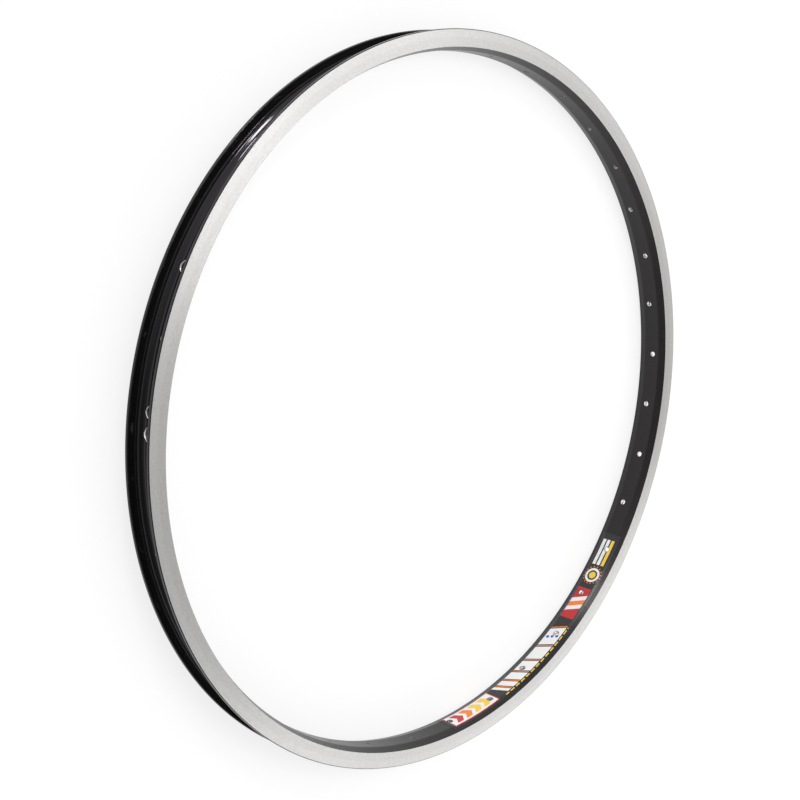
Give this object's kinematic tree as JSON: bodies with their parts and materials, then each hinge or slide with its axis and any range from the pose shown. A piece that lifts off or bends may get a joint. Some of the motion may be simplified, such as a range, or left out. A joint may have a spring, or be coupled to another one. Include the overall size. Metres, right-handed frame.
{
  "type": "bicycle rim",
  "caption": "Double-walled aluminium bicycle rim for rim brakes, with machined brake tracks, a black spoke bed and a printed film sticker.",
  "frame": {"origin": "centre of the wheel, midway between the two brake tracks", "axes": "+Z along the wheel's axis, up as the hoop lies; +X midway between the last spoke hole and the first"},
  "size_m": [0.5715, 0.5716, 0.0272],
  "materials": {
    "rim": "satin",
    "decal": "gloss"
  },
  "bodies": {
    "root": {"rim": "rim", "decal": "decal"}
  },
  "joints": []
}
